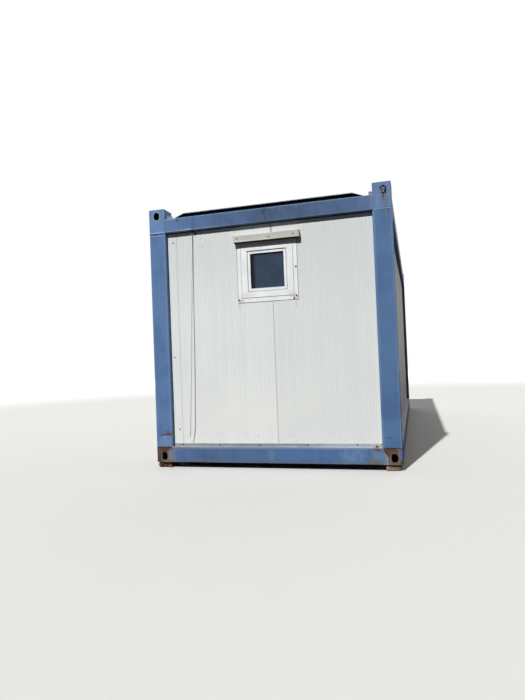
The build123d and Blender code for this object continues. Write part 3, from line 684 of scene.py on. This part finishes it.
def make_finishes():
    blue_paint("blue_post_left", (88, 118, 161), left_post_marks, runs=0.15, layer=post_layer)
    blue_paint("blue_post_right", (80, 109, 148), right_post_marks, runs=0.15, layer=post_layer)
    blue_paint("blue_header", (86, 115, 157), header_marks, runs=0.35, faded=0.12, layer=header_layer)
    blue_paint("blue_sill", (76, 105, 148), sill_marks, runs=0.2, layer=sill_layer)
    blue_paint("blue_frame", (82, 112, 154), runs=0.4, rusty=True)
    blue_paint("blue_fitting_left", (97, 129, 173), left_fitting_marks, runs=0.08, faded=0.3,
               inside="front_left_top_corner")
    blue_paint("blue_fitting_right", (95, 118, 156), right_fitting_marks, runs=0.12,
               inside="front_right_top_corner")
    rusted_fitting("rusted_fitting_left", "front_left_bottom_corner", left_rust_marks)
    rusted_fitting("rusted_fitting_right", "front_right_bottom_corner", right_rust_marks, painted=True)
    rusted_fitting("rusted_fitting_rear")
    panel_sheet("white_panel")
    flashing_sheet("flashing")
    plastic("window_plastic")
    weathered_timber("weathered_batten")
    roof_metal("roof_sheet")
    glazing("window_glass")
    # Near-black navy filler under the roof sheet's front edge: painted shade of the gap there.
    plain("roof_filler", (3, 7, 18), (8, 12, 24), 40.0, 0.9, 0.002, specular=0.1)
    plain("floor_board", (96, 84, 70), (118, 104, 88), 9.0, 0.7, stretch=(1, 0.1, 1))
    plain("ceiling_lining", (206, 206, 200), (216, 216, 211), 5.0, 0.6)
    plain("underframe_primer", (52, 50, 50), (92, 66, 50), 16.0, 0.85, 0.002)
    plain("door_leaf", (210, 212, 210), (215, 217, 214), 12.0, 0.42, 0.0004)
    plain("door_frame", (168, 174, 179), (184, 189, 193), 8.0, 0.5, 0.0005)
    plain("handle_steel", (168, 168, 166), (196, 196, 194), 90.0, 0.32, 0.0003, metallic=0.9)
    plain("dark_screw", (38, 36, 36), (62, 54, 48), 180.0, 0.6, 0.0004, metallic=0.3)
    plain("black_rubber", (14, 14, 15), (26, 26, 27), 120.0, 0.7, 0.0003, specular=0.2)
    plain("glazing_gasket", (14, 14, 15), (24, 23, 23), 90.0, 0.75, 0.0002, specular=0.1)
    plain("sash_seal", (50, 45, 43), (74, 65, 62), 60.0, 0.7, 0.0003, specular=0.1)
    plain("grey_sealant", (104, 102, 97), (126, 123, 118), 70.0, 0.7, 0.0003, specular=0.2)
    plain("cable_sheath", (170, 171, 170), (183, 183, 181), 60.0, 0.55, 0.0003)
    plain("rubbed_lug", (108, 124, 156), (134, 144, 168), 60.0, 0.6, 0.0008, specular=0.12)
    plain("painted_weld", (98, 128, 170), (112, 140, 178), 60.0, 0.5, 0.0008, specular=0.12)
    plain("dull_weld", (60, 52, 48), (82, 70, 62), 50.0, 0.8, 0.001, specular=0.1)
    plain("grey_weld", (92, 106, 124), (106, 120, 138), 50.0, 0.7, 0.001, specular=0.1)
    eye_paint("shackle_paint")
    plain("dull_pin", (138, 144, 158), (160, 164, 174), 70.0, 0.6, 0.0005, specular=0.3)
    rough_stone("brown_packer", (46, 34, 26), (80, 59, 47), (120, 97, 80))
    rough_stone("pink_packer", (92, 70, 59), (134, 110, 97), (170, 149, 135))


def dress_nodes():
    """Gives each CAD node the finish of its material's name, or one of its own."""
    own = {
        "front_left_corner_post": "blue_post_left", "front_right_corner_post": "blue_post_right",
        "front_header": "blue_header", "front_sill": "blue_sill",
        "front_left_top_corner": "blue_fitting_left", "front_right_top_corner": "blue_fitting_right",
        "front_left_bottom_corner": "rusted_fitting_left",
        "front_right_bottom_corner": "rusted_fitting_right",
        "rear_left_bottom_corner": "rusted_fitting_rear", "rear_right_bottom_corner": "rusted_fitting_rear",
        "floor_cross_members": "underframe_primer", "cable_gland": "black_rubber",
        "corner_packers": "brown_packer",
    }
    for name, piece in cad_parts.items():
        for holder in piece.material_slots:
            holder.material = finishes[own.get(name, holder.material.name)]


# Camera, light and floor

def add_object(name, data):
    made = bpy.data.objects.new(name, data)
    bpy.context.collection.objects.link(made)
    return made


def add_mesh(name, shape, finish):
    """Object of a finished shape, in the given finish."""
    mesh = bpy.data.meshes.new(name)
    shape.to_mesh(mesh)
    shape.free()
    mesh.materials.append(finishes[finish])
    return add_object(name, mesh)


def make_camera():
    turn = (
        Matrix.Rotation(camera_pan, 3, "Z")
        @ Matrix.Rotation(camera_tilt, 3, "X")
        @ Matrix.Rotation(camera_roll, 3, "Y")
    )
    right, ahead, up = turn.col
    data = bpy.data.cameras.new("camera")
    data.sensor_width = sensor_width
    data.lens = sensor_width * focal_pixels / photo_height
    data.clip_end = 200
    camera = add_object("camera", data)
    camera.matrix_world = Matrix.Translation(camera_place) @ Matrix((right, up, -ahead)).transposed().to_4x4()
    bpy.context.scene.camera = camera


def make_sun():
    data = bpy.data.lights.new("sun", "SUN")
    data.energy = sun_strength
    data.angle = sun_angle
    add_object("sun", data).rotation_euler = toward_sun.to_track_quat("Z", "Y").to_euler()


def make_world():
    """Soft light, stronger from behind the cabin; plain white to the camera, to gloss and through glass."""
    world = bpy.data.worlds.new("studio")
    bpy.context.scene.world = world
    world.use_nodes = True
    sky = Nodes(world.node_tree)
    direction = sky.node("ShaderNodeTexCoord").outputs["Generated"]
    rearward = sky.node("ShaderNodeSeparateXYZ", {0: direction}).outputs["Y"]
    light = sky.spread(rearward, *sky_change, front_sky, rear_sky)
    rays = sky.node("ShaderNodeLightPath").outputs
    seen = sky.maths("MAXIMUM", rays["Is Camera Ray"], rays["Is Glossy Ray"])
    seen = sky.maths("MAXIMUM", seen, rays["Is Transmission Ray"])
    lit = sky.times(light, sky.maths("SUBTRACT", 1.0, seen))
    background = sky.tree.nodes["Background"].inputs
    sky.feed(background["Color"], (1, 1, 1, 1))
    sky.feed(background["Strength"], sky.maths("ADD", lit, seen))


def make_floor():
    """Floor that the camera sees pale, and white far off, but that throws little light back."""
    shape = bmesh.new()
    bmesh.ops.create_circle(shape, cap_ends=True, segments=96, radius=floor_radius)
    finish = Finish("studio_floor", roughness=0.9, specular=0.1)
    seen = finish.node("ShaderNodeLightPath").outputs["Is Camera Ray"]
    finish.paint(finish.mix(seen, srgb(60, 59, 57), srgb(206, 206, 203)))
    finish.give("Emission Color", (1, 1, 1, 1))
    far = finish.spread(finish.distance(finish.place), *floor_fade)
    finish.give("Emission Strength", finish.times(far, seen))
    floor = add_mesh("floor", shape, "studio_floor")


# Pieces

def settle(name, shape, slot, finish=None, smooth=False):
    """Makes the mesh a piece that rides on the cabin, in the finish of its slot or in one of its own."""
    bmesh.ops.recalc_face_normals(shape, faces=shape.faces)
    for face in shape.faces:
        face.smooth = smooth
    piece = add_mesh(name, shape, finish or slot)
    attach(piece, "root")
    return piece


def prism(shape, corners, drop):
    """Closed prism: a flat outline carried through by the vector drop. Returns its vertices."""
    base = [shape.verts.new(corner) for corner in corners]
    made = bmesh.ops.extrude_face_region(shape, geom=[shape.faces.new(base)])["geom"]
    moved = [item for item in made if isinstance(item, bmesh.types.BMVert)]
    bmesh.ops.translate(shape, vec=drop, verts=moved)
    return base + moved


def edges_in_plane(verts, y):
    """Edges at these vertices that lie in the upright plane at y."""
    edges = {edge for vertex in verts for edge in vertex.link_edges}
    return [edge for edge in edges if all(abs(end.co.y - y) < 1e-6 for end in edge.verts)]


def ease(shape, edges, width, segments=2):
    bmesh.ops.bevel(
        shape, geom=edges, offset=width, segments=segments, profile=0.5, affect="EDGES", material=-1,
        clamp_overlap=True,
    )


def wall_matrix(side):
    """Turns (along, up, out) into the part's frame for one wall."""
    origin, along, out = walls[side]
    turned = Matrix((along, Vector((0, 0, 1)), out)).transposed().to_4x4()
    return Matrix.Translation(origin) @ turned


def add_disc(shape, place, out, radius, tip_radius, rise, sides=14):
    """Low round form standing on a surface, along the direction out."""
    turn = out.to_track_quat("Z", "Y").to_matrix().to_4x4()
    matrix = Matrix.Translation(place + out * (rise / 2)) @ turn
    bmesh.ops.create_cone(
        shape, cap_ends=True, segments=sides, radius1=radius, radius2=tip_radius, depth=rise, matrix=matrix,
    )


def mitred_ring(name, outer, inner, front, back, slot, finish=None, edge=0.0):
    """Four mitred bars between two upright rectangles (x0, x1, z0, z1), from the plane front to back."""
    shape = bmesh.new()
    outside, inside = (((x0, z0), (x1, z0), (x1, z1), (x0, z1)) for x0, x1, z0, z1 in (outer, inner))
    gap = mitre_gap if edge else 0.0
    for i in range(4):
        j = (i + 1) % 4
        corners = [outside[i], outside[j], inside[j], inside[i]]
        middle_x = sum(x for x, _ in corners) / 4
        middle_z = sum(z for _, z in corners) / 4
        # each bar is a hair shorter than its mitres, so the joints show as fine lines
        if i % 2 == 0:
            corners = [(x - math.copysign(gap, x - middle_x), z) for x, z in corners]
        else:
            corners = [(x, z - math.copysign(gap, z - middle_z)) for x, z in corners]
        bar = prism(shape, [(x, front, z) for x, z in corners], to_rear * (back - front))
        if edge:
            ease(shape, edges_in_plane(bar, front), edge)
    return settle(name, shape, slot, finish)


def ribbed_skin(name, side, start, stop, bottom, top, hole=None):
    """Outer sheet of one wall panel with fine upright ribs, cut round a hole (left, right, under, over)."""
    shape = bmesh.new()
    ribs = max(1, round((stop - start) / rib_pitch))
    pitch = (stop - start) / ribs
    steps = len(rib_profile)
    bmesh.ops.create_grid(shape, x_segments=steps * ribs, y_segments=1, size=0.5)
    groove = shape.verts.layers.float.new("groove")
    for vertex in shape.verts:
        column = round((vertex.co.x + 0.5) * steps * ribs)
        rib, step = divmod(column, steps)
        share, sunk = rib_profile[step]
        level = bottom if vertex.co.y < 0 else top
        vertex.co = (start + pitch * (rib + share), level, skin_rise - rib_depth * sunk)
        vertex[groove] = sunk
    if hole:
        left, right, under, over = hole
        cuts = [((x, 0, 0), (1, 0, 0)) for x in (left, right)]
        cuts += [((0, y, 0), (0, 1, 0)) for y in (under, over)]
        for place, normal in cuts:
            geom = shape.verts[:] + shape.edges[:] + shape.faces[:]
            bmesh.ops.bisect_plane(shape, geom=geom, plane_co=place, plane_no=normal)
        inside = []
        for face in shape.faces:
            middle = face.calc_center_median()
            if left < middle.x < right and under < middle.y < over:
                inside.append(face)
        bmesh.ops.delete(shape, geom=inside, context="FACES")
    bmesh.ops.recalc_face_normals(shape, faces=shape.faces)
    bmesh.ops.solidify(shape, geom=shape.faces[:], thickness=skin_sheet)
    bmesh.ops.transform(shape, matrix=wall_matrix(side), verts=shape.verts)
    settle(name, shape, "white_panel")


def make_skins():
    """Ribbed sheets on all the wall panels, from post to post and from the flashing to the header."""
    bottom, top = flashing_top + skin_edge_gap, header_bottom - skin_edge_gap
    post_edge = post_x - skin_edge_gap
    hole = rectangle("window_trim")
    _, door_edge, _, over_door = rectangle("door_frame", -skin_gap)
    lintel_edge = high("door_frame")[0] - skin_gap
    for side, part, start, stop, foot, cut in (
        ("front", "left", -post_edge, left_joint - skin_gap, bottom, None),
        ("front", "middle", left_joint + skin_gap, right_joint - skin_gap, bottom, hole),
        ("front", "right", right_joint + skin_gap, post_edge, bottom, hole),
        ("rear", "left", door_edge, post_edge, bottom, None),
        ("rear", "right", -post_edge, -door_edge, bottom, None),
        ("rear", "over_door", -lintel_edge, lintel_edge, over_door, None),
    ):
        ribbed_skin(f"{side}_skin_{part}", side, start, stop, foot, top, cut)
    panel_low, panel_high = low("left_wall_panels")[1], high("left_wall_panels")[1]
    pitch = (panel_high - panel_low) / side_panels
    for side in ("left", "right"):
        for number in range(side_panels):
            start = max(panel_low + pitch * number + skin_gap, -post_y + skin_edge_gap)
            stop = min(panel_low + pitch * (number + 1) - skin_gap, post_y - skin_edge_gap)
            ribbed_skin(f"{side}_skin_{number + 1}", side, start, stop, bottom, top)


def make_screws(name, places, out, slot, size=1.0, finish="dark_screw"):
    """Screws with washers at the given points of a surface whose outward direction is out."""
    shape = bmesh.new()
    washer, head = washer_radius * size, head_radius * size
    for place in places:
        spot = Vector(place)
        add_disc(shape, spot, out, washer, washer * washer_taper, washer_rise)
        add_disc(shape, spot + out * washer_rise, out, head, head * head_taper, head_rise, 6)
    settle(name, shape, slot, finish)


def make_all_screws():
    """The screws of the window end, and an even row along the flashing of each side."""
    for name, (plane, slot, size, finish, places) in end_screws.items():
        make_screws(name, [(x, plane, z) for x, z in places], to_front, slot, size, finish)
    for side in ("left", "right"):
        origin, along, out = walls[side]
        start = origin + out * flashing_leg + Vector((0, 0, flashing_level))
        reach = side_screw_pitch * (side_screws - 1) / 2
        spots = [start + along * (reach - side_screw_pitch * number) for number in range(side_screws)]
        make_screws(f"{side}_flashing_screws", spots, out, "flashing")


def weld_bead(shape, start, end, out, rise=weld_rise):
    """A rippled bead along a seam, from start to end, half sunk in the surface."""
    start, end = Vector(start), Vector(end)
    ahead = (end - start).normalized()
    across = ahead.cross(out)
    length = (end - start).length
    steps = max(4, round(length / weld_ripple) * 2)
    grid = bmesh.ops.create_grid(shape, x_segments=steps, y_segments=weld_sides, size=0.5)["verts"]
    for vertex in grid:
        along = (vertex.co.x + 0.5) * length
        angle = (vertex.co.y + 0.5) * 2 * math.pi
        ripple = 1 + weld_wave * math.sin(along / weld_ripple * math.pi)
        ripple += weld_unevenness * field.noise(start * 9 + Vector((along * 60, 0, 0)))
        ends = min(1.0, along / weld_width + weld_end, (length - along) / weld_width + weld_end)
        side = across * math.cos(angle) * weld_width / 2
        height = out * math.sin(angle) * rise
        vertex.co = start + ahead * along + (side + height) * ripple * ends
    bmesh.ops.remove_doubles(shape, verts=grid, dist=1e-6)
    open_edges = [edge for edge in shape.edges if edge.is_boundary]
    bmesh.ops.holes_fill(shape, edges=open_edges, sides=weld_sides)


def make_welds():
    """Beads where the posts and beams of the two ends meet the corner fittings."""
    for end, face, out in (("front", front_face, to_front), ("rear", rear_face, to_rear)):
        top, bottom, seams = bmesh.new(), bmesh.new(), bmesh.new()
        for side in (-1, 1):
            seam = side * fitting_x
            outer, inner = side * (fitting_x + weld_reach), side * (fitting_x + weld_start)
            rise = weld_rise if side < 0 else weld_rise * flat_weld
            weld_bead(top, (outer, face, header_bottom), (inner, face, header_bottom), out, rise)
            foot, crown = header_bottom + seam_foot_gap, header_top - seam_top_gap
            weld_bead(top, (seam, face, foot), (seam, face, crown), out)
            weld_bead(bottom, (outer, face, sill_top), (inner, face, sill_top), out)
            foot, crown = sill_foot + seam_foot_gap, sill_top - seam_top_gap
            weld_bead(seams, (seam, face, foot), (seam, face, crown), out)
        settle(f"{end}_top_welds", top, "blue_frame", "painted_weld", smooth=True)
        settle(f"{end}_bottom_welds", bottom, "rusted_fitting", "dull_weld", smooth=True)
        settle(f"{end}_bottom_seams", seams, "rusted_fitting", "grey_weld", smooth=True)


def make_cable():
    """Loose cable on the left wall strip, a smooth line through the points of its route."""
    origin = Vector((left_side, wall_front, header_bottom))
    points = [origin + Vector((across, -out, -drop)) for across, out, drop in cable_route]
    curve = bpy.data.curves.new("cable_line", "CURVE")
    curve.dimensions = "3D"
    curve.bevel_depth = cable_diameter / 2
    curve.bevel_resolution = 4
    curve.use_fill_caps = True
    curve.resolution_u = 10
    line = curve.splines.new("NURBS")
    line.points.add(len(points) - 1)
    for control, point in zip(line.points, points):
        control.co = (*point, 1)
    line.order_u = 3
    line.use_endpoint_u = True
    curve.materials.append(finishes["cable_sheath"])
    cable = add_object("cable", curve)
    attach(cable, "root")
    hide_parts("hanging_cable")


def make_grommet():
    """Empty rubber-lined hole beside the cable's gland, in the shadow under the header."""
    shape = bmesh.new()
    centre = Vector((grommet_x, wall_front - skin_rise, header_bottom - grommet_drop))
    add_disc(shape, centre, to_front, grommet_radius, grommet_tip_radius, grommet_rise, 20)
    settle("spare_grommet", shape, "gland", "black_rubber")


def make_window():
    """Mitred bars of the trim, sealant round it, and the seals of the frame, the sash and the pane."""
    trim, frame_edge, sash = rectangle("window_trim"), rectangle("window_frame"), rectangle("window_sash")
    bars = mitred_ring("trim_bars", trim, frame_edge, trim_front, wall_front, "window_plastic",
                       edge=trim_rounding)
    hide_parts("window_trim")
    mitred_ring("trim_sealant", rectangle("window_trim", -trim_sealant_width), trim,
                wall_front - trim_sealant_rise, wall_front, "window_plastic", "grey_sealant")
    mitred_ring("frame_joint", rectangle("window_frame", -frame_joint_width), frame_edge,
                trim_front - frame_joint_rise, trim_front + frame_joint_root,
                "window_plastic", "grey_sealant")
    seal = (sash[0] + sash_seal_left, sash[1] - sash_seal_right, sash[2] + sash_seal_width,
            sash[3] - sash_seal_width)
    mitred_ring("sash_seal", sash, seal, sash_front - sash_seal_rise, sash_front + sash_seal_root,
                "gland", "sash_seal")
    pane, gasket = rectangle("window_sash", sash_band), rectangle("window_sash", sash_band + gasket_width)
    mitred_ring("glazing_gasket", pane, gasket, glass_front - gasket_rise, glass_front,
                "gland", "glazing_gasket")


def make_shade_strips():
    """Dark strip with a rounded lower edge, painted shade between the top of each wall and the beam over it.
    """
    for side, half in (("front", post_x), ("rear", post_x), ("left", post_y), ("right", post_y)):
        shape = bmesh.new()
        profile = [(0.0, 0.0)]
        for step in range(shade_strip_steps + 1):
            angle = math.pi / 2 * step / shade_strip_steps
            profile.append((-shade_strip_height / 2 * (math.cos(angle) + 1), shade_strip_depth * math.sin(angle)))
        profile.append((0.0, shade_strip_depth))
        corners = [(-half, header_bottom + up, out) for up, out in profile]
        prism(shape, corners, Vector((2 * half, 0, 0)))
        bmesh.ops.transform(shape, matrix=wall_matrix(side), verts=shape.verts)
        settle(f"{side}_shade_strip", shape, "gland", "black_rubber")


def make_lashing_eye():
    """Painted lashing eye with a dull ring below it, caught inside the top right aperture."""
    shape = bmesh.new()
    front = front_face + eye_set_back
    outline = [(eye_x + side * eye_radius, front, eye_z - eye_foot) for side in (-1, 1)]
    for step in range(eye_steps + 1):
        angle = math.pi * step / eye_steps
        crown = eye_z + eye_straight + eye_radius * math.sin(angle)
        outline.append((eye_x + eye_radius * math.cos(angle), front, crown))
    ease(shape, edges_in_plane(prism(shape, outline, to_rear * eye_depth), front), eye_rounding)
    settle("lashing_eye", shape, "blue_frame", "shackle_paint")
    shape = bmesh.new()
    matrix = Matrix.Translation(Vector((eye_x, front_face, eye_z)) + ring_place)
    matrix = matrix @ Matrix.Diagonal((1.0, 1.0, ring_squash, 1.0)) @ Matrix.Rotation(math.pi / 2, 4, "X")
    for vertex in bmesh.ops.create_grid(shape, x_segments=24, y_segments=10, size=0.5)["verts"]:
        turn = (vertex.co.x + 0.5) * 2 * math.pi
        tube = (vertex.co.y + 0.5) * 2 * math.pi
        reach = ring_radius + ring_thickness * math.cos(tube)
        height = ring_thickness * math.sin(tube)
        vertex.co = matrix @ Vector((reach * math.cos(turn), reach * math.sin(turn), height))
    bmesh.ops.remove_doubles(shape, verts=shape.verts, dist=1e-6)
    settle("lashing_ring", shape, "handle_steel", "dull_pin", smooth=True)


def make_lugs():
    """Small welded plates on top of the header, one near each fitting."""
    shape = bmesh.new()
    front = front_face + lug_set_back
    for x0, x1, rise in lugs:
        top = header_top + rise
        corners = [(x0, front, header_top), (x1, front, header_top), (x1, front, top), (x0, front, top)]
        made = prism(shape, corners, to_rear * lug_depth)
        upper = [edge for edge in shape.edges if all(v in made and v.co.z > top - 1e-5 for v in edge.verts)]
        across = [edge for edge in upper if abs(edge.verts[0].co.y - edge.verts[1].co.y) > lug_depth / 2]
        ease(shape, across, lug_rounding, 4)
    settle("header_lugs", shape, "blue_frame", "rubbed_lug")


def make_packers():
    """Rough blocks under the four bottom fittings, in the place of the plain solids."""
    (_, _, z0), (x1, y1, z1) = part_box("corner_packers")
    for sx, sy in ((-1, -1), (1, -1), (-1, 1), (1, 1)):
        shape = bmesh.new()
        bmesh.ops.create_cube(shape, size=1.0)
        bmesh.ops.subdivide_edges(shape, edges=shape.edges[:], cuts=11, use_grid_fill=True)
        centre = Vector((sx * (x1 - packer_width / 2), sy * (y1 - packer_depth / 2), (z0 + z1) / 2))
        for vertex in shape.verts:
            unit = vertex.co.copy()
            rim = max(abs(unit.x), abs(unit.y)) * 2
            place = Vector((unit.x * packer_width, unit.y * packer_depth, unit.z * (z1 - z0)))
            lump = field.fractal((place + centre) * 18, 1.0, 2.0, 4)
            grain = field.fractal((place + centre) * 60, 1.0, 2.0, 3)
            inward = packer_wear + packer_lumps * lump + packer_grains * grain
            inward += packer_edge_wear * (abs(unit.z) * 2) ** 3 * (0.6 + 0.4 * lump)
            shrink = 1 - max(0.0, inward) * rim ** 3
            vertex.co = centre + Vector((place.x * shrink, place.y * shrink, place.z))
        name = f"packer_{'front' if sy < 0 else 'rear'}_{'left' if sx < 0 else 'right'}"
        settle(name, shape, "packer_stone", "brown_packer" if sx < 0 else "pink_packer")
    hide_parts("corner_packers")


def make_roof_seams():
    """Laps of the roof sheets, low straps with the sheets' own outline, and the screws along them."""
    (_, y0, _), (_, y1, level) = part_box("roof_cover")
    edge, foot, top = (-left_side - inset for inset in (lap_edge, lap_foot, lap_top))
    base = header_top + roof_sheet_thickness
    low_line = [(-edge, base), (-foot, base), (-top, level), (top, level), (foot, base), (edge, base)]
    high_line = [(x, z + lap_rise) for x, z in reversed(low_line)]
    laps = [y0 + (y1 - y0) * number / roof_sheets for number in range(1, roof_sheets)]
    shape = bmesh.new()
    for y in laps:
        prism(shape, [(x, y - lap_width / 2, z) for x, z in low_line + high_line], to_rear * lap_width)
    settle("roof_laps", shape, "roof_sheet")
    spots = [(x, y, level + lap_rise) for y in laps for x in roof_screw_places]
    make_screws("roof_screws", spots, Vector((0, 0, 1)), "roof_sheet")


def make_door_details():
    """Seal round the leaf, and the lock cylinder in the handle plate."""
    face = high("door_leaf")[1]
    mitred_ring("door_seal", rectangle("door_leaf", -door_seal_width), rectangle("door_leaf"),
                face - door_seal_start, face - door_seal_end, "gland", "black_rubber")
    shape = bmesh.new()
    keyhole = Vector(low("door_handle")) + lock_place
    add_disc(shape, keyhole, to_rear, lock_radius, lock_tip_radius, lock_rise, 20)
    settle("lock_cylinder", shape, "handle_steel")


bpy.context.scene.view_settings.view_transform = "Standard"
make_camera()
make_sun()
make_world()
make_finishes()
make_cable()
dress_nodes()
make_floor()
make_skins()
make_all_screws()
make_welds()
make_grommet()
make_window()
make_shade_strips()
make_lashing_eye()
make_lugs()
make_packers()
make_roof_seams()
make_door_details()
